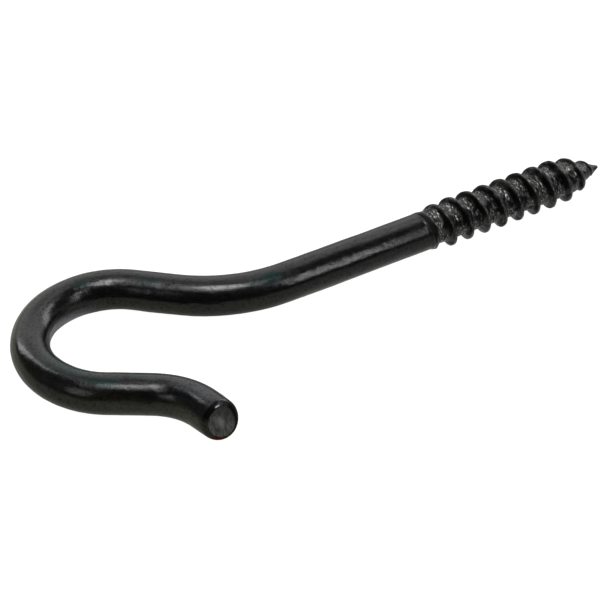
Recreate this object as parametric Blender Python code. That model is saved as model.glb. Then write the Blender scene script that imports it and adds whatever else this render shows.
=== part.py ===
"""Ceiling hook with a wood-screw shank: one length of round steel wire.

The blank is a straight round wire.  A coarse wood thread with a gimlet point
is rolled on one end, the other end is sheared off square, and the wire is
then bent cold in one plane: a neck bend, the round bowl of the hook and a
short flare at the tip that opens the mouth.  Thread, shank, neck, bowl, flare
and cut end are one solid, so the part is one object.

Shape frame (used while building):
  the screw axis is the X axis and the point looks along +X,
  x = 0 is the shoulder where the rolled thread meets the plain shank,
  every bend lies in the plane z = 0, the mouth of the hook opens to +X/-Y.
Part frame (as delivered): the hook lies on its side the way it comes to rest,
on one thread crest and the rim of the bowl, +Z up, with the origin at the
bottom centre of its bounding box.
"""
import bpy
import bmesh
import math
from mathutils import Matrix, Vector

MM = 0.001

# ---- wire ------------------------------------------------------------------
WIRE_D = 4.90            # diameter of the plain wire
SEGMENTS = 32            # sides round the wire
BEND_FLATTENING = 0.05   # the section loses this much in the bend plane, mid bowl

# ---- centre line, from the shoulder towards the cut end ---------------------
SHANK_LEN = 20.57        # straight plain shank
NECK_TURN = 41.69        # neck bend, in degrees; it is tighter in its second half
NECK_RADII = (21.08, 17.80)
NECK_LEN = 5.70          # straight between neck and bowl
BOWL_TURN = 188.70       # bowl, in degrees; it opens slightly towards the tip
BOWL_RADII = (9.88, 9.82, 9.85, 10.31)
ARM_LEN = 5.36           # straight between bowl and flare
FLARE_TURN = 43.93       # flare that opens the mouth, in degrees
FLARE_RADII = (9.02, 8.65)
TIP_LEN = 3.13           # straight up to the middle of the cut face
CUT_LEAN_IN = 0.17       # slope of the sheared face: longer on the mouth side
CUT_LEAN_UP = -0.30      # and longer underneath
CUT_EDGE_AXIAL = 0.66    # the sheared edge is rolled over: its depth along the wire
CUT_EDGE_IN = 0.64       # and its width on the end face
BEND_STEP = 7.5          # degrees between two sections in a bend

# ---- rolled wood thread ------------------------------------------------------
PITCH = 2.585            # right-handed
MAJOR_R = 3.00
CORE_R = 2.16
CREST_X = 3.70           # where one crest passes the angle CREST_ANGLE
CREST_ANGLE = 48.7       # degrees from +Y towards +Z
CREST_HALF = 0.05        # half width of the rounded crest, in pitches
ROOT_EDGE = 0.34         # where the flank meets the root, in pitches from the crest
LIP_X = (-2.16, 2.56)    # the crest grows from the wire to MAJOR_R over this stretch
GROOVE_X = (-1.20, -0.20)     # the groove deepens from the wire to CORE_R over this one
CREST_FADE_X = (19.40, 26.40)  # the crest falls off towards the point
CREST_FADE_EXP = 1.82
CORE_TAPER_X = (21.50, 26.43)  # gimlet point
CORE_TAPER_EXP = 1.10
POINT_R = 0.14           # blunt end of the point
THREAD_X0 = -3.4         # the wire is plain and round up to here
ROWS_PER_PITCH = 8

# ---- how it lies ---------------------------------------------------------------
# the thread stands proud of the wire, so the bowl drops about half a millimetre
REST_PITCH = -0.554      # degrees about Y
REST_ROLL = 0.057        # degrees about X


def smooth(t):
    t = min(1.0, max(0.0, t))
    return t * t * (3.0 - 2.0 * t)


def centre_line():
    """Sections (point, tangent, bowl weight) along the wire, shoulder to cut end."""
    x, y, heading = THREAD_X0, 0.0, math.pi
    out = [(x, y, heading, 0.0)]

    def straight(length, steps):
        nonlocal x, y
        for _ in range(steps):
            x += math.cos(heading) * length / steps
            y += math.sin(heading) * length / steps
            out.append((x, y, heading, 0.0))

    def arc(radius, degrees, weight):
        nonlocal x, y, heading
        steps = max(2, round(abs(degrees) / BEND_STEP))
        step = math.radians(degrees) / steps
        chord = 2.0 * radius * math.sin(abs(step) / 2.0)
        for i in range(steps):
            x += math.cos(heading + step / 2.0) * chord
            y += math.sin(heading + step / 2.0) * chord
            heading += step
            out.append((x, y, heading, weight((i + 1) / steps)))

    straight(SHANK_LEN + THREAD_X0, 5)
    for radius in NECK_RADII:
        arc(radius, -NECK_TURN / len(NECK_RADII), lambda t: 0.0)
    straight(NECK_LEN, 2)
    for k, radius in enumerate(BOWL_RADII):
        n = len(BOWL_RADII)
        arc(radius, BOWL_TURN / n,
            lambda t, k=k, n=n: math.sin(math.pi * (k + t) / n) ** 2)
    straight(ARM_LEN, 2)
    for radius in FLARE_RADII:
        arc(radius, -FLARE_TURN / len(FLARE_RADII), lambda t: 0.0)
    lean = math.hypot(CUT_LEAN_IN, CUT_LEAN_UP) * WIRE_D / 2
    straight(TIP_LEN - CUT_EDGE_AXIAL - lean - 0.05, 1)
    return out


def crest_radius(x):
    grow = smooth((x - LIP_X[0]) / (LIP_X[1] - LIP_X[0]))
    r = WIRE_D / 2 + (MAJOR_R - WIRE_D / 2) * grow
    t = (x - CREST_FADE_X[0]) / (CREST_FADE_X[1] - CREST_FADE_X[0])
    t = min(1.0, max(0.0, t))
    return POINT_R + (r - POINT_R) * (1.0 - t ** CREST_FADE_EXP)


def core_radius(x):
    t = (x - CORE_TAPER_X[0]) / (CORE_TAPER_X[1] - CORE_TAPER_X[0])
    t = min(1.0, max(0.0, t))
    return POINT_R + (CORE_R - POINT_R) * (1.0 - t ** CORE_TAPER_EXP)


def thread_radius(x, angle):
    """Radius of the threaded end at x, angle in radians from +Y towards +Z."""
    turns = (x - CREST_X) / PITCH - (angle - math.radians(CREST_ANGLE)) / (2 * math.pi)
    u = turns - round(turns)                  # distance to the nearest crest
    crest_x = x - u * PITCH
    before_x = crest_x if u >= 0 else crest_x - PITCH
    depth = smooth((before_x - GROOVE_X[0]) / (GROOVE_X[1] - GROOVE_X[0]))
    root = core_radius(x)
    root += (WIRE_D / 2 - root) * (1.0 - depth)
    top = max(crest_radius(x), root)
    h = smooth((ROOT_EDGE - abs(u)) / (ROOT_EDGE - CREST_HALF))
    return root + (top - root) * h


def build_mesh():
    bm = bmesh.new()
    n = SEGMENTS
    step = 2 * math.pi / n
    half = WIRE_D / 2

    # plain wire: one ring of vertices at each section, the cut end first
    sections = centre_line()[::-1]
    rings = []

    def ring(px, py, heading, r_in, r_out):
        # in-plane normal chosen so that it is +Y on the screw axis
        nx, ny = -math.sin(heading - math.pi), math.cos(heading - math.pi)
        verts = []
        for j in range(n):
            c, s = math.cos(j * step), math.sin(j * step)
            verts.append(bm.verts.new((px + nx * c * r_in, py + ny * c * r_in, s * r_out)))
        return verts

    ex, ey, eh, _ = sections[0]
    reach = CUT_EDGE_AXIAL + math.hypot(CUT_LEAN_IN, CUT_LEAN_UP) * half + 0.05
    edge_steps = 4
    for i in range(edge_steps, -1, -1):
        a = math.pi / 2 * i / edge_steps
        r = half - CUT_EDGE_IN * (1.0 - math.cos(a))
        verts = ring(ex, ey, eh, r, r)
        for j, v in enumerate(verts):
            along = (reach - CUT_EDGE_AXIAL * (1.0 - math.sin(a))
                     - CUT_LEAN_IN * r * math.cos(j * step)
                     + CUT_LEAN_UP * r * math.sin(j * step))
            v.co.x += math.cos(eh) * along
            v.co.y += math.sin(eh) * along
        rings.append(verts)
    for px, py, heading, weight in sections[:-1]:
        rings.append(ring(px, py, heading, half * (1.0 - BEND_FLATTENING * weight), half))

    # threaded end: every column holds the shoulder vertex and one vertex on
    # each turn of the helical rows, so the rows follow the thread exactly
    x_start = THREAD_X0
    x_end = CORE_TAPER_X[1]
    phase = math.radians(CREST_ANGLE) / (2 * math.pi)
    row = PITCH / ROWS_PER_PITCH
    columns = []
    for j in range(n):
        angle = j * step
        xs = [x_start]
        base = CREST_X + PITCH * (j / n - phase)
        k = math.floor((x_start - base) / row)
        while True:
            k += 1
            x = base + k * row
            if x > x_end - 0.35 * row:
                break
            if x > x_start + 0.35 * row:
                xs.append(x)
        xs.append(x_end)
        column = []
        for x in xs:
            r = thread_radius(x, angle)
            if x == x_start:
                r = half
            if x == x_end:
                r = POINT_R
            column.append(bm.verts.new((x, r * math.cos(angle), r * math.sin(angle))))
        columns.append(column)

    # the wire's last ring is the first vertex of every threaded column
    rings.append([column[0] for column in columns])
    for a, b in zip(rings, rings[1:]):
        for j in range(n):
            k = (j + 1) % n
            bm.faces.new((a[j], a[k], b[k], b[j]))
    bm.faces.new(rings[0][::-1])

    # strips between neighbouring columns
    for j in range(n):
        left, right = columns[j], columns[(j + 1) % n]
        a = b = 0
        while a < len(left) - 1 or b < len(right) - 1:
            if b == len(right) - 1:
                go_left = True
            elif a == len(left) - 1:
                go_left = False
            else:
                go_left = ((left[a + 1].co - right[b].co).length
                           < (right[b + 1].co - left[a].co).length)
            if go_left:
                bm.faces.new((left[a], right[b], left[a + 1]))
                a += 1
            else:
                bm.faces.new((left[a], right[b], right[b + 1]))
                b += 1
    bm.faces.new([column[-1] for column in columns])

    bmesh.ops.recalc_face_normals(bm, faces=bm.faces[:])
    return bm


def lay_down(bm):
    """Turn the hook to the way it lies and put the origin under its box."""
    turn = (Matrix.Rotation(math.radians(REST_PITCH), 4, 'Y')
            @ Matrix.Rotation(math.radians(REST_ROLL), 4, 'X'))
    bmesh.ops.transform(bm, matrix=turn, verts=bm.verts[:])
    lo = Vector([min(v.co[i] for v in bm.verts) for i in range(3)])
    hi = Vector([max(v.co[i] for v in bm.verts) for i in range(3)])
    shift = Vector((-(lo.x + hi.x) / 2, -(lo.y + hi.y) / 2, -lo.z))
    bmesh.ops.translate(bm, vec=shift, verts=bm.verts[:])
    bmesh.ops.scale(bm, vec=(MM, MM, MM), verts=bm.verts[:])
    return shift


def black_steel():
    mat = bpy.data.materials.new("black_coated_steel")
    mat.use_nodes = True
    bsdf = mat.node_tree.nodes["Principled BSDF"]
    bsdf.inputs["Base Color"].default_value = (0.012, 0.013, 0.014, 1.0)
    bsdf.inputs["Metallic"].default_value = 0.0
    bsdf.inputs["Roughness"].default_value = 0.32
    return mat


def main():
    for obj in list(bpy.data.objects):
        bpy.data.objects.remove(obj, do_unlink=True)
    bm = build_mesh()
    lay_down(bm)
    mesh = bpy.data.meshes.new("screw_hook")
    bm.to_mesh(mesh)
    bm.free()
    mesh.shade_smooth()
    mesh.set_sharp_from_angle(angle=math.radians(50))
    hook = bpy.data.objects.new("screw_hook", mesh)
    mesh.materials.append(black_steel())
    bpy.context.scene.collection.objects.link(hook)


main()
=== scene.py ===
"""Looks of the ceiling hook: one length of black-coated steel wire with a rolled
wood thread, bent into a hook and sheared off at the tip.

All lengths in the constants are millimetres, in the shape frame that the CAD
part is drawn in: the screw axis is the X axis with the point towards +X, x = 0
is the shoulder where the thread meets the plain shank, every bend lies in the
plane z = 0, and the mouth of the hook opens towards -Y.  The finished mesh is
turned and moved to the way the CAD part lies, and scaled to metres.
"""

import bpy
import math
import numpy as np
from mathutils import Matrix, Vector


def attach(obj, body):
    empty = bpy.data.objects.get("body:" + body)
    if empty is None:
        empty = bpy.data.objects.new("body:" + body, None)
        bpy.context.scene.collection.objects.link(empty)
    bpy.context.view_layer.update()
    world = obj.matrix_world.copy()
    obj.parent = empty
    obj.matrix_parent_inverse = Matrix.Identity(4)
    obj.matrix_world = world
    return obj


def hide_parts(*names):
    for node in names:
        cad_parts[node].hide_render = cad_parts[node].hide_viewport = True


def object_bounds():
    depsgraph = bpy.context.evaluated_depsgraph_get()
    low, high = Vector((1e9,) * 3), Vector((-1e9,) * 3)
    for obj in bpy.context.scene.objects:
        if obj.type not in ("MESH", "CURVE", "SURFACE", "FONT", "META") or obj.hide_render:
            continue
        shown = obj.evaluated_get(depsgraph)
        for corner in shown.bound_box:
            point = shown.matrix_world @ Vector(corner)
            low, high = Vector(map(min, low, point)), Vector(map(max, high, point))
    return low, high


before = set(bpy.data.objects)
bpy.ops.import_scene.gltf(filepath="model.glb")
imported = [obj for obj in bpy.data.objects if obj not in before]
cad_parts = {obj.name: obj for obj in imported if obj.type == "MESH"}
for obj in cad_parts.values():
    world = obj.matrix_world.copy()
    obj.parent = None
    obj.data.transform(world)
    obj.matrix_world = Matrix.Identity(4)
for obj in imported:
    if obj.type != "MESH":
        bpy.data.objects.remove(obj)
cad_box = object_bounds()
MM = 0.001

# ---- wire, as in the CAD ------------------------------------------------------
WIRE_D = 4.90
BEND_FLATTENING = 0.05
SHANK_LEN = 20.57
NECK_TURN = 41.69
NECK_RADII = (21.08, 17.80)
NECK_LEN = 5.70
BOWL_TURN = 188.70
BOWL_RADII = (9.88, 9.82, 9.85, 10.31)
ARM_LEN = 5.36
FLARE_TURN = 43.93
FLARE_RADII = (9.02, 8.65)
TIP_LEN = 3.13
CUT_LEAN_IN = 0.17
CUT_LEAN_UP = -0.30
CUT_EDGE_AXIAL = 0.66
CUT_EDGE_IN = 0.64

# ---- rolled thread, as in the CAD ----------------------------------------------
PITCH = 2.585
MAJOR_R = 3.00
CORE_R = 2.16
CREST_X = 3.70
CREST_ANGLE = 48.7
CREST_HALF = 0.05
ROOT_EDGE = 0.34
LIP_X = (-2.16, 2.56)
GROOVE_X = (-1.00, -0.35)
CREST_FADE_X = (19.40, 26.40)
CREST_FADE_EXP = 1.82
TIP_FADE_X = (24.5, 25.5)
CORE_TAPER_X = (21.50, 26.43)
CORE_TAPER_EXP = 1.10
POINT_R = 0.19
THREAD_X0 = -3.4
SHOULDER_CREST = -2              # turns back from the crest at CREST_X
SHOULDER_U = -0.13
SHOULDER_STEP = 0.10
SHOULDER_LIP = 0.02

# ---- how the CAD part lies --------------------------------------------------------
REST_PITCH = -0.554
REST_ROLL = 0.057
REST_SHIFT = (15.08420563, 2.95378590, 2.97371316)

# ---- bends and knocks in the wire: (mm from the shoulder, degrees round, half length, half width, height)
WIRE_SWELL = 0.040
DENTS = (
    (20.6, 128.0, 1.6, 34.0, -0.030),
    (36.4, 120.0, 0.8, 26.0, -0.026),
    (47.6, 120.0, 1.3, 30.0, 0.030),
    (71.3, 66.0, 1.2, 26.0, -0.030),
    (80.2, 62.0, 1.2, 28.0, -0.030),
)

# ---- stains in the coat: (mm from the shoulder, degrees round, half length, half width, strength)
TEAL = (
    (23.3, 110.0, 1.7, 24.0, 0.75),
    (25.0, 118.0, 1.9, 12.0, 0.55),
    (23.8, 128.0, 1.2, 14.0, 0.4),
    (38.0, 108.0, 2.0, 22.0, 0.4),
    (47.3, 108.0, 1.4, 26.0, 0.6),
    (67.0, 88.0, 3.4, 18.0, 0.4),
    (73.0, 76.0, 2.6, 18.0, 0.7),
    (74.4, 84.0, 2.0, 14.0, 0.5),
    (70.0, 84.0, 3.0, 12.0, 0.4),
    (77.0, 94.0, 2.6, 16.0, 0.4),
)
# painted reflection: olive patches standing in for the yellowish table mirrored on the lower front of the wire
OLIVE_REFLECTION = (
    (35.5, 197.0, 4.5, 26.0, 1.0),
    (26.0, 190.0, 5.0, 26.0, 0.4),
    (61.5, 32.0, 5.0, 24.0, 0.9),
    (84.0, 4.0, 8.0, 34.0, 1.3),
    (74.0, 12.0, 8.0, 28.0, 1.0),
)
BROWN = (
    (21.4, 130.0, 1.8, 20.0, 0.7),
    (21.6, 90.0, 1.2, 26.0, 0.35),
    (75.6, 84.0, 0.8, 26.0, 0.8),
    (48.8, 146.0, 1.4, 14.0, 0.5),
    (54.0, 92.0, 4.0, 14.0, 0.5),
    (62.0, 82.0, 3.0, 12.0, 0.4),
)
FROST = (
    (68.0, 108.0, 4.5, 22.0, 0.9),
    (38.4, 119.0, 1.6, 9.0, 0.55),
    (73.6, 64.0, 1.6, 8.0, 0.7),
)
HAZE = (
    (84.0, 98.0, 4.4, 36.0, 1.0),
    (56.0, 188.0, 4.0, 16.0, 0.6),
    (47.0, 196.0, 4.5, 22.0, 0.35),
    (79.0, 100.0, 3.0, 20.0, 0.35),
    (6.0, 104.0, 9.0, 12.0, 0.18),
)
RUST = (
    (86.9, 292.0, 0.8, 36.0, 1.8),
)

# ---- painted shade: dark, nearly unreflecting patches that dim the wire's reflections on the shank behind the shoulder and inside the bowl: (mm from the shoulder, degrees round, half length, half width, strength)
PAINTED_SHADE = (
    (3.2, 142.0, 5.0, 20.0, 0.34),
    (52.6, 162.0, 2.6, 9.0, 0.8),
    (55.6, 166.0, 2.6, 10.0, 0.9),
    (58.6, 165.0, 2.4, 13.0, 1.0),
    (60.6, 158.0, 2.6, 14.0, 1.3),
    (62.6, 149.0, 2.6, 14.0, 1.3),
    (64.6, 140.0, 2.6, 13.0, 1.1),
    (66.6, 130.0, 2.2, 11.0, 0.8),
)

# ---- mesh ---------------------------------------------------------------------------
COLUMNS = 120            # sides round the wire
WIRE_STEP = 0.27         # between two rings of the plain wire
ROWS_PER_PITCH = 28
EDGE_RINGS = 8
FACE_RINGS = 14


def smooth(t):
    t = np.clip(t, 0.0, 1.0)
    return t * t * (3.0 - 2.0 * t)


# ---- noise ----------------------------------------------------------------------------
def hashed(ix, iy, iz, seed):
    """A number from -1 to 1 for each whole-number lattice point."""
    h = (ix.astype(np.int64) * 374761393 + iy.astype(np.int64) * 668265263
         + iz.astype(np.int64) * 2147483647 + seed * 1274126177) & 0xFFFFFFFF
    h = ((h ^ (h >> 13)) * 1274126177) & 0xFFFFFFFF
    h = (h ^ (h >> 16)) & 0xFFFFFFFF
    return h / 2147483647.5 - 1.0


def noise(p, size, seed):
    """Smooth value noise, from -1 to 1, with lumps about size millimetres across."""
    q = p / size
    base = np.floor(q)
    f = q - base
    f = f * f * f * (f * (f * 6 - 15) + 10)
    i = base.astype(np.int64)
    out = 0.0
    for dx in (0, 1):
        wx = f[:, 0] if dx else 1 - f[:, 0]
        for dy in (0, 1):
            wy = f[:, 1] if dy else 1 - f[:, 1]
            for dz in (0, 1):
                wz = f[:, 2] if dz else 1 - f[:, 2]
                out = out + wx * wy * wz * hashed(i[:, 0] + dx, i[:, 1] + dy, i[:, 2] + dz, seed)
    return out


# ---- centre line -------------------------------------------------------------------------
def centre_line():
    """Finely stepped centre line of the plain wire: s, x, y, heading, bowl weight."""
    pieces = [(SHANK_LEN + THREAD_X0, 0.0)]
    pieces += [(math.radians(NECK_TURN / len(NECK_RADII)) * r, -1.0 / r) for r in NECK_RADII]
    pieces += [(NECK_LEN, 0.0)]
    bowl_start = sum(p[0] for p in pieces)
    pieces += [(math.radians(BOWL_TURN / len(BOWL_RADII)) * r, 1.0 / r) for r in BOWL_RADII]
    bowl_end = sum(p[0] for p in pieces)
    pieces += [(ARM_LEN, 0.0)]
    pieces += [(math.radians(FLARE_TURN / len(FLARE_RADII)) * r, -1.0 / r) for r in FLARE_RADII]
    lean = math.hypot(CUT_LEAN_IN, CUT_LEAN_UP) * WIRE_D / 2
    pieces += [(TIP_LEN - CUT_EDGE_AXIAL - lean - 0.05, 0.0)]
    total = sum(p[0] for p in pieces)
    ds = 0.02
    n = int(total / ds) + 1
    mid = (np.arange(n) + 0.5) * total / n
    ends = np.cumsum([p[0] for p in pieces])
    curve = np.array([p[1] for p in pieces])[np.minimum(np.searchsorted(ends, mid), len(pieces) - 1)]
    # a bend made by hand round a former runs in and out over about a millimetre
    w = int(1.6 / ds)
    kernel = np.hanning(w + 2)[1:-1]
    kernel /= kernel.sum()
    curve = np.convolve(np.pad(curve, w, mode="edge"), kernel, mode="same")[w:-w]
    step = total / n
    heading = math.pi + np.concatenate([[0.0], np.cumsum(curve * step)])
    mid_heading = (heading[1:] + heading[:-1]) / 2
    x = THREAD_X0 + np.concatenate([[0.0], np.cumsum(np.cos(mid_heading) * step)])
    y = np.concatenate([[0.0], np.cumsum(np.sin(mid_heading) * step)])
    s = np.linspace(0.0, total, n + 1)
    t = np.clip((s - bowl_start) / (bowl_end - bowl_start), 0, 1)
    return s, x, y, heading, np.sin(math.pi * t) ** 2


# ---- thread ---------------------------------------------------------------------------------
def crest_radius(x):
    grow = smooth((x - LIP_X[0]) / (LIP_X[1] - LIP_X[0]))
    r = WIRE_D / 2 + (MAJOR_R - WIRE_D / 2) * grow
    t = np.clip((x - CREST_FADE_X[0]) / (CREST_FADE_X[1] - CREST_FADE_X[0]), 0, 1)
    return POINT_R + (r - POINT_R) * (1.0 - t ** CREST_FADE_EXP)


def core_radius(x):
    t = np.clip((x - CORE_TAPER_X[0]) / (CORE_TAPER_X[1] - CORE_TAPER_X[0]), 0, 1)
    return POINT_R + (CORE_R - POINT_R) * (1.0 - t ** CORE_TAPER_EXP)


def thread_radius(x, angle):
    """(radius, share of the thread's height) at x, angle in radians from +Y towards +Z."""
    turns = (x - CREST_X) / PITCH - (angle - math.radians(CREST_ANGLE)) / (2 * math.pi)
    u = turns - np.round(turns)
    crest_x = x - u * PITCH
    before_x = np.where(u >= 0, crest_x, crest_x - PITCH)
    depth = smooth((before_x - GROOVE_X[0]) / (GROOVE_X[1] - GROOVE_X[0]))
    root = core_radius(x)
    root = root + (WIRE_D / 2 - root) * (1.0 - depth)
    crest = root + (crest_radius(x) - root) * (1.0 - smooth((x - TIP_FADE_X[0]) / (TIP_FADE_X[1] - TIP_FADE_X[0])))
    top = np.maximum(crest, root)
    h = smooth((ROOT_EDGE - np.abs(u)) / (ROOT_EDGE - CREST_HALF))
    return root + (top - root) * h, h, u, depth


# ---- relief ------------------------------------------------------------------------------------
def around_gap(angle, centre):
    """Signed gap in degrees between angles round the wire."""
    return (np.degrees(angle) - centre + 180.0) % 360.0 - 180.0


def blob(along, angle, at, centre, half_len, half_width):
    """A soft oval patch on the wire, 1 in the middle and 0 outside."""
    d = ((along - at) / half_len) ** 2 + (around_gap(angle, centre) / half_width) ** 2
    return np.clip(1.0 - d, 0.0, 1.0)


def unbent(along, angle):
    half = WIRE_D / 2
    return np.stack([along, half * np.cos(angle), half * np.sin(angle)], 1)


def wire_relief(along, angle):
    """Lumps of the drawn, bent and dipped wire, in millimetres, outwards."""
    p = unbent(along, angle)
    long = p * np.array([0.55, 1.0, 1.0])
    out = 0.026 * noise(long, 2.3, 11)
    out += 0.016 * noise(long, 1.05, 12)
    out += 0.0085 * noise(p, 0.50, 13)
    for at, centre, half_len, half_width, height in DENTS:
        out += height * blob(along, angle, at, centre, half_len, half_width)
    return out


def thread_relief(x, angle, h, depth):
    """Pits, scale and drag marks of the rolled thread, in millimetres, outwards."""
    p = unbent(x, angle)
    drag = p * np.array([1.0, 0.45, 0.45])
    rough = depth * (1.0 - 0.75 * h)
    out = 0.040 * noise(drag, 0.55, 21) * rough
    out += 0.034 * noise(drag, 0.27, 22) * rough
    out += 0.032 * noise(p, 1.1, 23) * depth
    out += 0.016 * noise(p, 0.5, 24) * depth
    return out


def shoulder_step(x, angle, u, crest_n):
    """The plain wire ends in a small sharp step where the thread runs out."""
    turn = np.degrees(angle)
    here = (crest_n == SHOULDER_CREST) * smooth((turn - 62.0) / 30.0) * smooth((236.0 - turn) / 20.0)
    fall = smooth((u - SHOULDER_U) / 0.05) * (1.0 - smooth((u - SHOULDER_U - 0.30) / 0.25))
    lip = np.exp(-((u - SHOULDER_U + 0.03) / 0.03) ** 2)
    return here * (SHOULDER_LIP * lip - SHOULDER_STEP * fall)


def build_hook():
    n = COLUMNS
    step = 2 * math.pi / n
    half = WIRE_D / 2
    theta = np.arange(n) * step
    cos_t, sin_t = np.cos(theta), np.sin(theta)
    s, x, y, heading, weight = centre_line()
    total = s[-1]

    verts, mask_thread, mask_cut, uv_s, uv_a, grit_and_painted_light, soot_and_shade_parts = [], [], [], [], [], [], []
    faces = []
    count = 0

    # the grit values (rough) also carry the cut face's painted shade and painted glint; the soot values (black) also
    # carry painted shade
    def add(points, thread, cut, along, around, rough=0.0, black=0.0):
        nonlocal count
        verts.append(points)
        soot_and_shade_parts.append(np.broadcast_to(black, len(points)).astype(float))
        grit_and_painted_light.append(np.broadcast_to(rough, len(points)).astype(float))
        mask_thread.append(np.broadcast_to(thread, len(points)).astype(float))
        mask_cut.append(np.broadcast_to(cut, len(points)).astype(float))
        uv_s.append(np.broadcast_to(along, len(points)).astype(float))
        uv_a.append(np.broadcast_to(around, len(points)).astype(float))
        start = count
        count += len(points)
        return start

    def section(at):
        return [float(np.interp(at, s, v)) for v in (x, y, heading, weight)]

    def ring(at, r_in, r_out, along=0.0):
        px, py, hd, _ = section(at)
        nx, ny = -math.sin(hd - math.pi), math.cos(hd - math.pi)
        out = np.empty((n, 3))
        out[:, 0] = px + nx * cos_t * r_in + math.cos(hd) * along
        out[:, 1] = py + ny * cos_t * r_in + math.sin(hd) * along
        out[:, 2] = sin_t * r_out
        normal = np.stack([nx * cos_t, ny * cos_t, sin_t], 1)
        return out, normal

    # -- cut face and its rolled-over edge, from the middle of the face outwards
    reach = CUT_EDGE_AXIAL + math.hypot(CUT_LEAN_IN, CUT_LEAN_UP) * half + 0.05
    ring_starts = []
    sharp = np.clip(np.cos(theta - math.radians(65.0)), 0, 1) ** 1.5
    edge_in = (CUT_EDGE_IN + 0.06 + 0.10 * np.exp(-(around_gap(theta, 66.0) / 26.0) ** 2)
               + 0.36 * np.exp(-(around_gap(theta, 172.0) / 46.0) ** 2))
    edge_ax = CUT_EDGE_AXIAL + 0.08 - 0.36 * sharp
    face_r = half - edge_in
    px, py, hd, _ = section(total)
    for k in range(1, FACE_RINGS + 1):
        r = face_r * k / FACE_RINGS
        along = reach - CUT_LEAN_IN * r * cos_t + CUT_LEAN_UP * r * sin_t
        pts, _ = ring(total, r, r, along)
        # painted shade on the cut face: darker towards its top right, with a lighter streak down the middle and a
        # lighter centre; stored in the grit mask
        shade = 1.0 - 0.75 * smooth((k / FACE_RINGS * np.cos(theta - math.radians(125.0)) + 0.15) / 1.05)
        shade = shade + 0.5 * np.exp(-((r * cos_t - 0.20) / 0.26) ** 2) * smooth((1.2 - r) / 0.8)
        ring_starts.append(add(pts, 0.0, 1.0, total - THREAD_X0, theta, shade))
    centre_pts, _ = ring(total, 0.0, 0.0, reach)
    centre = add(centre_pts[:1], 0.0, 1.0, total - THREAD_X0, 0.0, 1.4)
    for k in range(EDGE_RINGS - 1, -1, -1):
        a = math.pi / 2 * k / EDGE_RINGS
        r = half - edge_in * (1.0 - math.cos(a))
        along = (reach - edge_ax * (1.0 - math.sin(a)) - CUT_LEAN_IN * r * cos_t
                 + CUT_LEAN_UP * r * sin_t)
        pts, _ = ring(total, r, r, along)
        # painted glint: one near-white spot on the rim, about 86 degrees round, drawn in the face's colour
        painted_glint = np.exp(-(around_gap(theta, 86.0) / 11.0) ** 4) * math.exp(-((k - 5.9) / 0.75) ** 2)
        # painted shade: the rim near-black over its upper left and over its right and lower side, hiding the rolled
        # edge's highlights
        upper = smooth((44.0 - np.abs(around_gap(theta, 62.0))) / 18.0) * float(smooth((k + 1.2) / 3.0))
        right = smooth((78.0 - np.abs(around_gap(theta, 192.0))) / 22.0)
        rim_shade = np.maximum(upper, right) * (1.0 - painted_glint)
        lifted = smooth((r - face_r) / 0.06)
        ring_starts.append(add(pts, 0.0, painted_glint, total - THREAD_X0, theta, painted_glint * 3.4, rim_shade * lifted))

    # -- plain wire
    steps = int(round(total / WIRE_STEP))
    for k in range(1, steps):
        at = total * (1 - k / steps)
        w = section(at)[3]
        pts, normal = ring(at, half * (1 - BEND_FLATTENING * w), half)
        fade = smooth((total - at) / 0.6)
        along = at - THREAD_X0 + 0 * theta
        pts = pts + normal * (wire_relief(along, theta) * fade + WIRE_SWELL)[:, None]
        # painted shade: the last rings before the cut darkened over the top, hiding a highlight along the rim
        near_cut_shade = float(smooth((0.40 - (total - at)) / 0.40)) * 0.7
        ring_starts.append(add(pts, 0.0, 0.0, along, theta, 0.0,
                               near_cut_shade * smooth((34.0 - np.abs(around_gap(theta, 78.0))) / 16.0)))

    # -- threaded end: helical rows
    x_end = CORE_TAPER_X[1]
    phase = math.radians(CREST_ANGLE) / (2 * math.pi)
    row = PITCH / ROWS_PER_PITCH
    columns = []
    all_x, all_t = [], []
    for j in range(n):
        base = CREST_X + PITCH * (j / n - phase)
        k0 = math.floor((THREAD_X0 + 0.35 * row - base) / row) + 1
        k1 = math.floor((x_end - 0.35 * row - base) / row)
        xs = np.concatenate([[THREAD_X0], base + np.arange(k0, k1 + 1) * row, [x_end]])
        columns.append(len(xs))
        all_x.append(xs)
        all_t.append(np.full(len(xs), j * step))
    ax = np.concatenate(all_x)
    at = np.concatenate(all_t)
    r, h, u, depth = thread_radius(ax, at)
    crest_n = np.round((ax - CREST_X) / PITCH - (at - math.radians(CREST_ANGLE)) / (2 * math.pi) - u)
    r[ax == THREAD_X0] = half
    r[ax == x_end] = POINT_R
    pts = np.stack([ax, r * np.cos(at), r * np.sin(at)], 1)
    radial = np.stack([0 * ax, np.cos(at), np.sin(at)], 1)
    blend = smooth((ax - GROOVE_X[0]) / 0.8)
    end_fade = smooth((x_end - ax) / 1.2)
    lift = ((wire_relief(-ax, at) + WIRE_SWELL) * (1 - blend)
            + thread_relief(ax, at, h, depth) * blend * end_fade
            + shoulder_step(ax, at, u, crest_n))
    pts = pts + radial * lift[:, None]
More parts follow.
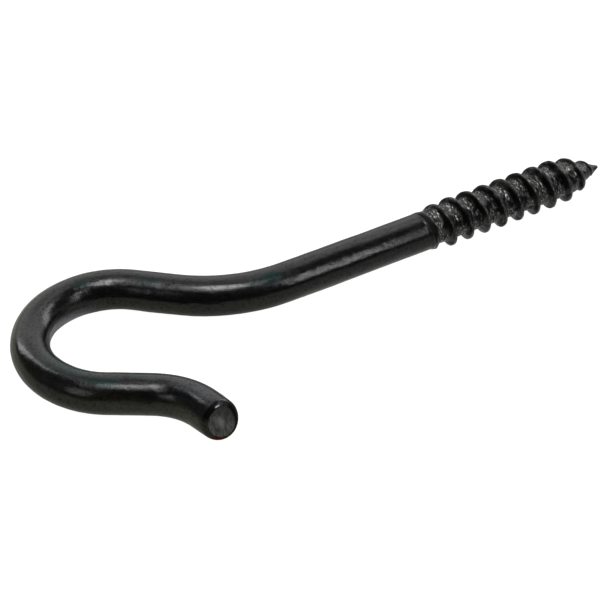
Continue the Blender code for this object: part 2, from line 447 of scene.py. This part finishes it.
    # the soot mask: near-black, nearly unreflecting coat on the crests and flanks, black pits, a black point, and
    # painted shade; the grit mask: the torn metal between them
    turn = np.degrees(at)
    starts = np.where(crest_n == SHOULDER_CREST,
                      smooth((turn - 62.0) / 20.0) * smooth((236.0 - turn) / 16.0) * smooth((u - SHOULDER_U + 0.02) / 0.05),
                      crest_n > SHOULDER_CREST)
    p = unbent(ax, at)
    ragged = noise(p * np.array([1.0, 0.5, 0.5]), 0.45, 31) + 0.7 * noise(p, 1.3, 32)
    torn = noise(p * np.array([1.0, 0.35, 0.35]), 0.26, 33) + 0.5 * noise(p, 0.9, 34)
    under = np.clip(smooth((turn - 140.0) / 40.0) + smooth((18.0 - turn) / 30.0), 0, 1)
    off = u + 0.05 * ragged
    broken = smooth((noise(p * np.array([1.0, 0.6, 0.6]), 0.34, 35) - 0.05) / 0.4)
    soot_and_shade = starts * smooth((off + 0.27) / 0.07) * (1.0 - 0.75 * smooth((off + 0.08) / 0.06))
    soot_and_shade = soot_and_shade * (1.0 - 0.35 * broken * smooth((132.0 - turn) / 16.0))
    soot_and_shade = np.where(crest_n == SHOULDER_CREST, starts * smooth((h - 0.10) / 0.3), soot_and_shade)
    soot_and_shade = soot_and_shade * (1.0 - under * smooth((torn + 0.30) / 0.5) * 0.8)
    # painted shade: a dark band round the lower front side of the thread, broken by the torn noise
    shade_band = starts * np.exp(-(around_gap(at, 140.0) / 25.0) ** 4)
    soot_and_shade = np.maximum(soot_and_shade, shade_band * smooth((0.16 - torn) / 0.36))
    low = starts * smooth((turn - 176.0) / 14.0)
    soot_and_shade = np.maximum(soot_and_shade, 0.6 * low * smooth((-0.25 - torn) / 0.3))
    spread = np.where(u < 0, smooth((off + 0.27) / 0.08), 0.0) * smooth((0.30 - u) / 0.05)
    valley = smooth((crest_n + (u > 0) - SHOULDER_CREST - 0.5) * 4.0)
    valley = valley * np.where(u < 0, 1.0 - spread, 1.0 - 0.5 * smooth((0.36 - u) / 0.10))
    soot_and_shade = np.maximum(soot_and_shade, 0.9 * valley * smooth((-0.30 - torn) / 0.22))
    # painted shade: the same band thins the bright grit
    shaded = np.exp(-(around_gap(at, 140.0) / 26.0) ** 4)
    valley = valley * (1.0 - shaded * smooth((0.42 - torn) / 0.35) * 0.92)
    valley = valley * (1.0 - 0.2 * under * smooth((torn + 0.1) / 0.4))
    valley = np.maximum(valley, starts * 0.30 * broken * (1.0 - shaded) * (u > -0.3) * (u < 0.3))
    valley = valley * np.where(crest_n + (u > 0) == SHOULDER_CREST + 1, smooth((turn - 50.0) / 12.0), 1.0)
    worn = starts * (crest_n > SHOULDER_CREST) * np.exp(-((u + 0.005) / 0.035) ** 2) * smooth((ragged + 0.45) / 0.5)
    worn = worn * (0.75 + 0.25 * smooth((118.0 - turn) / 20.0))
    valley = np.maximum(valley, worn) * (1.0 - 0.42 * smooth((ax - 20.5) / 3.0))
    soot_and_shade = np.maximum(soot_and_shade * (1.0 - worn), 0.95 * smooth((ax - 25.5) / 0.4))
    thread_start = add(pts, blend, 0.0, -ax, at, valley, soot_and_shade)
    column_start = thread_start + np.concatenate([[0], np.cumsum(columns)[:-1]])

    rings = np.array(ring_starts)
    order = np.concatenate([rings[:FACE_RINGS], rings[FACE_RINGS:]])
    co = np.concatenate(verts)

    idx = np.arange(n)
    nxt = (idx + 1) % n
    for a, b in zip(order[:-1], order[1:]):
        faces.append(np.stack([a + idx, b + idx, b + nxt, a + nxt], 1))
    last = order[-1]
    faces.append(np.stack([last + idx, column_start, column_start[nxt], last + nxt], 1))
    faces = [f for q in faces for f in q.tolist()]
    faces += [[centre, order[0] + j, order[0] + (j + 1) % n] for j in range(n)]
    for j in range(n):
        k = (j + 1) % n
        a0, b0 = int(column_start[j]), int(column_start[k])
        na, nb = columns[j], columns[k]
        xa, xb = co[a0:a0 + na, 0].tolist(), co[b0:b0 + nb, 0].tolist()
        shift = PITCH / n
        a = b = 0
        while a < na - 1 or b < nb - 1:
            if b == nb - 1:
                go_left = True
            elif a == na - 1:
                go_left = False
            else:
                go_left = xa[a + 1] + shift * 0.5 < xb[b + 1]
            if go_left:
                faces.append([a0 + a, a0 + a + 1, b0 + b])
                a += 1
            else:
                faces.append([a0 + a, b0 + b + 1, b0 + b])
                b += 1
    faces.append([int(column_start[j]) + columns[j] - 1 for j in range(n)][::-1])

    mesh = bpy.data.meshes.new("hook_wire")
    mesh.from_pydata(co.tolist(), [], faces)
    mesh.validate()
    mesh.update()
    along, around = np.concatenate(uv_s), np.concatenate(uv_a)
    fields = {"thread": np.concatenate(mask_thread), "cut_face": np.concatenate(mask_cut),
              "grit_and_painted_light": np.concatenate(grit_and_painted_light), "soot_and_shade": np.concatenate(soot_and_shade_parts)}
    for name, patches in (("teal", TEAL), ("olive_reflection", OLIVE_REFLECTION), ("brown", BROWN),
                          ("frost", FROST), ("haze", HAZE), ("rust", RUST), ("soot_and_shade", PAINTED_SHADE)):
        total_patch = fields.get(name, np.zeros(len(along)))
        for at, centre, half_len, half_width, strength in patches:
            total_patch = np.maximum(total_patch, strength * blob(along, around, at, centre, half_len, half_width))
        fields[name] = total_patch
    for name, values in fields.items():
        attribute = mesh.attributes.new(name, "FLOAT", "POINT")
        attribute.data.foreach_set("value", values.astype(np.float32))
    return mesh


def lie_down():
    turn = (Matrix.Rotation(math.radians(REST_PITCH), 4, 'Y')
            @ Matrix.Rotation(math.radians(REST_ROLL), 4, 'X'))
    return Matrix.Scale(MM, 4) @ Matrix.Translation(Vector(REST_SHIFT)) @ turn


# ---- materials ----------------------------------------------------------------------------------
class Nodes:
    """Short-hand for wiring up a node tree."""

    def __init__(self, tree):
        self.tree = tree

    def put(self, socket, value):
        if hasattr(value, "is_output"):
            self.tree.links.new(value, socket)
        else:
            socket.default_value = value

    def coords(self, sx=1.0, sy=1.0, sz=1.0):
        source = self.tree.nodes.new("ShaderNodeTexCoord").outputs["Object"]
        scale = self.tree.nodes.new("ShaderNodeMapping")
        scale.inputs["Scale"].default_value = (1000 * sx, 1000 * sy, 1000 * sz)
        self.tree.links.new(source, scale.inputs["Vector"])
        return scale.outputs["Vector"]

    def field(self, name):
        attribute = self.tree.nodes.new("ShaderNodeAttribute")
        attribute.attribute_name = name
        return attribute.outputs["Fac"]

    def noise(self, vector, scale, detail=2.0, roughness=0.5):
        n = self.tree.nodes.new("ShaderNodeTexNoise")
        self.put(n.inputs["Vector"], vector)
        n.inputs["Scale"].default_value = scale
        n.inputs["Detail"].default_value = detail
        n.inputs["Roughness"].default_value = roughness
        return n.outputs["Fac"]

    def math(self, kind, a, b=0.0, c=0.0):
        m = self.tree.nodes.new("ShaderNodeMath")
        m.operation = kind
        for socket, value in zip(m.inputs, (a, b, c)):
            self.put(socket, value)
        return m.outputs[0]

    def span(self, value, start, end, low=0.0, high=1.0):
        r = self.tree.nodes.new("ShaderNodeMapRange")
        for name, v in (("Value", value), ("From Min", start), ("From Max", end),
                        ("To Min", low), ("To Max", high)):
            self.put(r.inputs[name], v)
        return r.outputs["Result"]

    def mix(self, factor, a, b):
        m = self.tree.nodes.new("ShaderNodeMix")
        m.data_type = "FLOAT"
        for socket, value in zip((m.inputs[0], m.inputs[2], m.inputs[3]), (factor, a, b)):
            self.put(socket, value)
        return m.outputs[0]

    def blend(self, factor, a, b):
        m = self.tree.nodes.new("ShaderNodeMix")
        m.data_type = "RGBA"
        for socket, value in zip((m.inputs[0], m.inputs[6], m.inputs[7]), (factor, a, b)):
            self.put(socket, value)
        return m.outputs[2]

    def bump(self, height, millimetres, normal=None):
        b = self.tree.nodes.new("ShaderNodeBump")
        b.inputs["Strength"].default_value = 1.0
        b.inputs["Distance"].default_value = millimetres * MM
        self.put(b.inputs["Height"], height)
        if normal is not None:
            self.put(b.inputs["Normal"], normal)
        return b.outputs["Normal"]


def grey(v, g=None, b=None):
    return (v, v if g is None else g, v if b is None else b, 1.0)


def black_coat():
    mat = bpy.data.materials.new("black_coated_steel")
    mat.use_nodes = True
    bsdf = mat.node_tree.nodes["Principled BSDF"]
    t = Nodes(mat.node_tree)
    at = t.coords()
    thread, cut, grit_and_painted_light, soot_and_shade = t.field("thread"), t.field("cut_face"), t.field("grit_and_painted_light"), t.field("soot_and_shade")
    teal, olive_reflection, brown = t.field("teal"), t.field("olive_reflection"), t.field("brown")
    frost, haze, rust = t.field("frost"), t.field("haze"), t.field("rust")

    cloud = t.noise(at, 0.55, 3.0, 0.55)
    mottle = t.noise(at, 1.9, 3.0, 0.6)
    grain = t.noise(at, 4.6, 2.0, 0.6)
    ragged = t.span(t.math("ADD", t.math("MULTIPLY", mottle, 0.7), t.math("MULTIPLY", grain, 0.5)),
                    0.42, 0.78, 0.45, 1.35)

    # colour: deep black with faint green-blue and brown bloom, and an olive painted reflection of the table
    dust = t.math("MULTIPLY", t.span(t.noise(at, 3.1, 2.0, 0.6), 0.42, 0.68), t.span(mottle, 0.30, 0.65, 0.35, 1.0))
    coat = t.blend(dust, grey(0.0005, 0.0005, 0.0006), grey(0.0068, 0.0068, 0.0066))
    coat = t.blend(t.math("MULTIPLY", olive_reflection, ragged), coat, grey(0.012, 0.0115, 0.0045))
    tint = t.math("MINIMUM", t.math("MULTIPLY", t.math("MAXIMUM", teal, t.math("MAXIMUM", brown, frost)), ragged), 1.0)
    pick = t.blend(t.span(t.math("SUBTRACT", brown, teal), -0.05, 0.05), grey(0.0050, 0.034, 0.030), grey(0.026, 0.020, 0.024))
    pick = t.blend(t.span(t.math("SUBTRACT", frost, t.math("MAXIMUM", teal, brown)), -0.05, 0.05), pick, grey(0.036, 0.062, 0.060))
    coat = t.blend(tint, coat, pick)
    hazy = t.math("MINIMUM", t.math("MULTIPLY", haze, ragged), 1.0)
    coat = t.blend(hazy, coat, grey(0.076, 0.079, 0.085))
    tint = t.math("MAXIMUM", tint, hazy)
    rusty = t.math("MINIMUM", t.math("MULTIPLY", rust, ragged), 1.0)
    coat = t.blend(rusty, coat, grey(0.090, 0.020, 0.004))

    # thread: the same coat over gritty scale in the valleys, with scattered bright grains
    fine = t.coords(1.0, 0.45, 0.45)
    torn = t.math("MULTIPLY", grit_and_painted_light, thread)
    scale = t.span(t.noise(fine, 4.4, 2.0, 0.65), 0.40, 0.54)
    speck = t.span(t.noise(fine, 5.8, 1.0, 0.5), 0.56, 0.63)
    bright = t.math("MULTIPLY", torn, t.math("MAXIMUM", scale, speck))
    metal = t.blend(speck, grey(0.073, 0.073, 0.070), grey(0.37, 0.37, 0.355))
    colour = t.blend(bright, coat, metal)
    flecks = t.math("MULTIPLY", t.span(t.noise(at, 3.7, 2.0, 0.65), 0.50, 0.66, 0.0, 0.72), t.math("SUBTRACT", 1.0, torn))
    sooty = t.math("MINIMUM", t.math("MAXIMUM", soot_and_shade, flecks), 1.0)
    colour = t.blend(sooty, colour, grey(0.0085, 0.0085, 0.0085))

    # cut face: bare grey steel with upright drag lines, painted shade across it and a near-white painted glint on the
    # rim
    lines = t.noise(t.coords(3.4, 3.4, 0.45), 1.0, 3.0, 0.65)
    steel = t.blend(t.span(lines, 0.38, 0.62), grey(0.014, 0.015, 0.015), grey(0.114, 0.116, 0.107))
    steel = t.blend(t.span(mottle, 0.35, 0.65), t.blend(0.40, steel, grey(0.02)), steel)
    steel = t.blend(t.math("MINIMUM", grit_and_painted_light, 1.0), grey(0.004), steel)
    steel = t.blend(t.span(grit_and_painted_light, 1.0, 2.0), steel, grey(0.26, 0.265, 0.24))
    # painted glint: the highest values go near white
    steel = t.blend(t.span(grit_and_painted_light, 1.6, 3.0), steel, grey(0.85))
    colour = t.blend(cut, colour, steel)
    t.put(bsdf.inputs["Base Color"], colour)

    rough = t.span(cloud, 0.35, 0.65, 0.15, 0.22)
    rough = t.math("ADD", rough, t.span(grain, 0.4, 0.7, 0.0, 0.06))
    rough = t.mix(t.math("MULTIPLY", tint, 0.8), rough, 0.34)
    rough = t.mix(torn, rough, 0.36)
    rough = t.mix(t.math("MINIMUM", soot_and_shade, 1.0), rough, 0.46)
    rough = t.mix(cut, rough, 0.50)
    rough = t.mix(rusty, rough, 0.6)
    t.put(bsdf.inputs["Metallic"], t.math("MULTIPLY", t.math("MAXIMUM", t.math("MAXIMUM", sooty, rusty), t.math("MAXIMUM", tint, bright)), t.math("SUBTRACT", 1.0, cut)))
    t.put(bsdf.inputs["Roughness"], rough)
    bsdf.inputs["IOR"].default_value = 1.5

    skin = t.bump(t.noise(at, 2.1, 2.0, 0.55), 0.014)
    skin = t.bump(t.noise(at, 5.5, 2.0, 0.6), 0.010, skin)
    pits = t.bump(t.noise(fine, 3.3, 1.0, 0.5), 0.20, skin)
    normal = t.tree.nodes.new("ShaderNodeMix")
    normal.data_type = "VECTOR"
    t.put(normal.inputs[0], t.math("MULTIPLY", grit_and_painted_light, thread))
    t.put(normal.inputs[4], skin)
    t.put(normal.inputs[5], pits)
    drag = t.bump(lines, 0.05)
    face = t.tree.nodes.new("ShaderNodeMix")
    face.data_type = "VECTOR"
    t.put(face.inputs[0], cut)
    t.put(face.inputs[4], normal.outputs[1])
    t.put(face.inputs[5], drag)
    t.put(bsdf.inputs["Normal"], face.outputs[1])
    return mat


# ---- build ---------------------------------------------------------------------------------------
mesh = build_hook()
mesh.transform(lie_down())
lo, hi = cad_box
co = np.empty(len(mesh.vertices) * 3, np.float32)
mesh.vertices.foreach_get("co", co)
co = np.clip(co.reshape(-1, 3), np.array(lo, np.float32), np.array(hi, np.float32))
mesh.vertices.foreach_set("co", co.ravel())
mesh.update()
mesh.shade_smooth()
hook = bpy.data.objects.new("hook_wire", mesh)
bpy.context.scene.collection.objects.link(hook)
mesh.materials.append(black_coat())
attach(hook, "root")
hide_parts("screw_hook")
print("triangles", sum(len(p.vertices) - 2 for p in mesh.polygons))

# ---- camera, at the viewing angle of the reference ---------------------------------------------------
CAM_AZ, CAM_EL, CAM_ROLL = -30.24497, 37.82339, -0.93508
CAM_POS = (-127.88071, -186.71145, 163.97086)
CAM_LENS = 131.319
a, e, roll = (math.radians(v) for v in (CAM_AZ, CAM_EL, CAM_ROLL))
right = Vector((math.cos(a), math.sin(a), 0.0))
back = Vector((math.sin(a) * math.cos(e), -math.cos(a) * math.cos(e), math.sin(e)))
up = back.cross(right)
x_axis = math.cos(roll) * right + math.sin(roll) * up
y_axis = -math.sin(roll) * right + math.cos(roll) * up
turn = Matrix.Rotation(math.radians(REST_PITCH), 3, 'Y') @ Matrix.Rotation(math.radians(REST_ROLL), 3, 'X')
cam_data = bpy.data.cameras.new("camera")
cam_data.sensor_width = 36.0
cam_data.lens = CAM_LENS
cam_data.clip_start = 0.01
cam_data.clip_end = 10.0
camera = bpy.data.objects.new("camera", cam_data)
bpy.context.scene.collection.objects.link(camera)
axes = Matrix((turn @ x_axis, turn @ y_axis, turn @ back)).transposed()
place = (turn @ Vector(CAM_POS) + Vector(REST_SHIFT)) * MM
camera.matrix_world = Matrix.Translation(place) @ axes.to_4x4()
bpy.context.scene.camera = camera

# ---- floor -------------------------------------------------------------------------------------------
# A pale table top.  The camera sees it blown out to white; what the wire mirrors of it
# is a dimmer glow, a little yellow towards the left, with painted pools of light and painted shade.
bpy.ops.mesh.primitive_plane_add(size=12.0, location=(0, 0, 0))
floor = bpy.context.object
floor.name = "floor"
FLOOR_LEFT = (0.14, 0.139, 0.120, 1.0)
FLOOR_RIGHT = (0.14, 0.14, 0.137, 1.0)
FLOOR_GLOW = 0.285                             # the backlit table top
# painted pools of light on the table, which the wire mirrors: x, y, radius, strength
CORNER_LIGHT_POOL = (-45.0, 31.0, 20.0, 0.48)        # x, y, radius, strength
BOWL_LIGHT_POOL = (-45.2, 7.4, 3.0, 0.75)
ARM_LIGHT_POOL = (-50.0, -14.0, 9.0, 0.12)
# painted light: a brighter strip of the table along the shank
SHANK_LIGHT_STRIP = 0.22                             # brighter strip of the table along the shank


def pale_floor():
    mat = bpy.data.materials.new("pale_floor")
    mat.use_nodes = True
    tree = mat.node_tree
    bsdf = tree.nodes["Principled BSDF"]
    bsdf.inputs["Roughness"].default_value = 0.8
    bsdf.inputs["Specular IOR Level"].default_value = 0.2
    coords = tree.nodes.new("ShaderNodeTexCoord")
    split = tree.nodes.new("ShaderNodeSeparateXYZ")
    tree.links.new(coords.outputs["Object"], split.inputs[0])
    side = tree.nodes.new("ShaderNodeMapRange")
    side.interpolation_type = "SMOOTHSTEP"
    side.inputs["From Min"].default_value = -0.035
    side.inputs["From Max"].default_value = 0.020
    tree.links.new(split.outputs["X"], side.inputs["Value"])
    tint = tree.nodes.new("ShaderNodeMix")
    tint.data_type = "RGBA"
    tint.inputs["A"].default_value = FLOOR_LEFT
    tint.inputs["B"].default_value = FLOOR_RIGHT
    tree.links.new(side.outputs["Result"], tint.inputs["Factor"])
    tree.links.new(tint.outputs["Result"], bsdf.inputs["Base Color"])
    t = Nodes(tree)

    def light_pool(x, y, radius):
        """Mask of a painted pool of light: 1 at a point of the table, fading to 0 at the radius; millimetres in the
        shape frame.
        """
        d = tree.nodes.new("ShaderNodeVectorMath")
        d.operation = "DISTANCE"
        t.put(d.inputs[0], coords.outputs["Object"])
        d.inputs[1].default_value = ((x + REST_SHIFT[0]) * MM, (y + REST_SHIFT[1]) * MM, 0.0)
        return t.span(d.outputs["Value"], 0.0, radius * MM, 1.0, 0.0)

    # painted light: the pools and the strip are added to the table's even glow
    bowl_light = light_pool(*BOWL_LIGHT_POOL[:3])
    glow_and_painted_light = t.math("ADD", FLOOR_GLOW, t.math("MULTIPLY", light_pool(*CORNER_LIGHT_POOL[:3]), CORNER_LIGHT_POOL[3]))
    glow_and_painted_light = t.math("ADD", glow_and_painted_light, t.math("MULTIPLY", bowl_light, BOWL_LIGHT_POOL[3]))
    glow_and_painted_light = t.math("ADD", glow_and_painted_light, t.math("MULTIPLY", light_pool(*ARM_LIGHT_POOL[:3]), ARM_LIGHT_POOL[3]))
    off_line = t.math("ABSOLUTE", t.math("SUBTRACT", split.outputs["Y"], (REST_SHIFT[1] - 1.8) * MM))
    shank_light = t.math("MULTIPLY", t.span(off_line, 0.0, 0.005, SHANK_LIGHT_STRIP, 0.0), t.span(split.outputs["X"], -0.010, -0.003))
    glow_and_painted_light = t.math("ADD", glow_and_painted_light, shank_light)
    path = tree.nodes.new("ShaderNodeLightPath").outputs["Is Camera Ray"]
    pale = tree.nodes.new("ShaderNodeMix")
    pale.data_type = "RGBA"
    pale.inputs["A"].default_value = (1.0, 0.995, 0.88, 1.0)
    pale.inputs["B"].default_value = (1.0, 1.0, 0.985, 1.0)
    tree.links.new(side.outputs["Result"], pale.inputs["Factor"])
    # painted shade: the glow falls off towards the front and towards the right back
    glow_and_painted_light = t.math("MULTIPLY", glow_and_painted_light, t.span(split.outputs["Y"], -0.032, -0.012, 0.55, 1.0))
    far_shade = t.math("MULTIPLY", t.span(split.outputs["Y"], 0.010, 0.034, 0.0, 0.85), t.span(split.outputs["X"], -0.012, 0.014))
    glow_and_painted_light = t.math("MULTIPLY", glow_and_painted_light, t.math("SUBTRACT", 1.0, far_shade))
    # the painted pool of light in the bowl is bluish white
    shine = t.blend(t.span(bowl_light, 0.0, 0.25), pale.outputs["Result"], grey(0.95, 0.96, 1.0))
    t.put(bsdf.inputs["Emission Color"], t.blend(path, shine, grey(1.0)))
    t.put(bsdf.inputs["Emission Strength"], t.mix(path, glow_and_painted_light, 1.0))
    return mat


floor.data.materials.append(pale_floor())

# ---- light: a light tent with a lamp panel overhead, a bright back and bright corner seams ---------------
world = bpy.data.worlds.new("tent")
bpy.context.scene.world = world
world.use_nodes = True
wt = world.node_tree
bg = wt.nodes["Background"]
bg.inputs["Color"].default_value = (1, 1, 1, 1)
wp = wt.nodes.new("ShaderNodeLightPath")
wm = wt.nodes.new("ShaderNodeMath")
wm.operation = "MULTIPLY_ADD"
wm.inputs[1].default_value = 1.0
wm.inputs[2].default_value = 0.04
wt.links.new(wp.outputs["Is Camera Ray"], wm.inputs[0])
wt.links.new(wm.outputs[0], bg.inputs["Strength"])


def panel(name, azimuth, elevation, width, height, radiance, colour=(1, 1, 1), distance=1.0, spin=0.0):
    """A soft box facing the hook. Azimuth from +Y towards +X; width and height in metres."""
    az, el = math.radians(azimuth), math.radians(elevation)
    out = Vector((math.sin(az) * math.cos(el), math.cos(az) * math.cos(el), math.sin(el)))
    lamp = bpy.data.lights.new(name, "AREA")
    lamp.shape = "RECTANGLE"
    lamp.size, lamp.size_y = width * distance, height * distance
    lamp.energy = radiance * math.pi * lamp.size * lamp.size_y
    lamp.color = colour
    obj = bpy.data.objects.new(name, lamp)
    bpy.context.scene.collection.objects.link(obj)
    side = Vector((math.cos(az), -math.sin(az), 0.0))
    rot = Matrix((side, out.cross(side), out)).transposed().to_4x4()
    obj.matrix_world = (Matrix.Translation(out * distance + Vector((0, 0, 0.003))) @ rot
                        @ Matrix.Rotation(math.radians(spin), 4, 'Z'))
    obj.visible_camera = False
    return obj


panel("lamp_panel", -166, 79.4, 0.28, 0.40, 8.6, spin=14)
panel("lamp_glow", -138, 79.0, 0.60, 0.60, 1.9)
panel("lamp_wing", -112, 77.0, 0.16, 0.10, 2.6)
panel("lamp_wing_low", -90, 72.5, 0.12, 0.08, 1.0)
panel("back_wall", 27.5, 34, 2.4, 0.84, 1.03)
panel("back_wall_top", 27.5, 43, 2.4, 0.38, 0.13)
panel("back_wall_foot", 27.5, 6, 2.4, 0.22, 0.50)
panel("ceiling_back", 10, 70, 0.70, 0.35, 0.75)
panel("ceiling_right", 58, 57, 0.30, 0.30, 0.85)
panel("corner_back_left", -27, 36, 0.16, 0.83, 3.9)
panel("corner_back_right", 84, 27, 0.25, 0.94, 3.7)
panel("corner_front_right", 152.5, 35.5, 0.115, 0.62, 8.0)
panel("corner_front_left", -110, 32, 0.22, 0.44, 1.6)
panel("left_wall", -80, 25, 0.75, 0.80, 0.09, (0.88, 0.94, 1.0))
panel("right_wall", 120, 10, 0.8, 0.35, 0.24)

bpy.context.scene.view_settings.view_transform = "Standard"
bpy.context.scene.view_settings.look = "None"
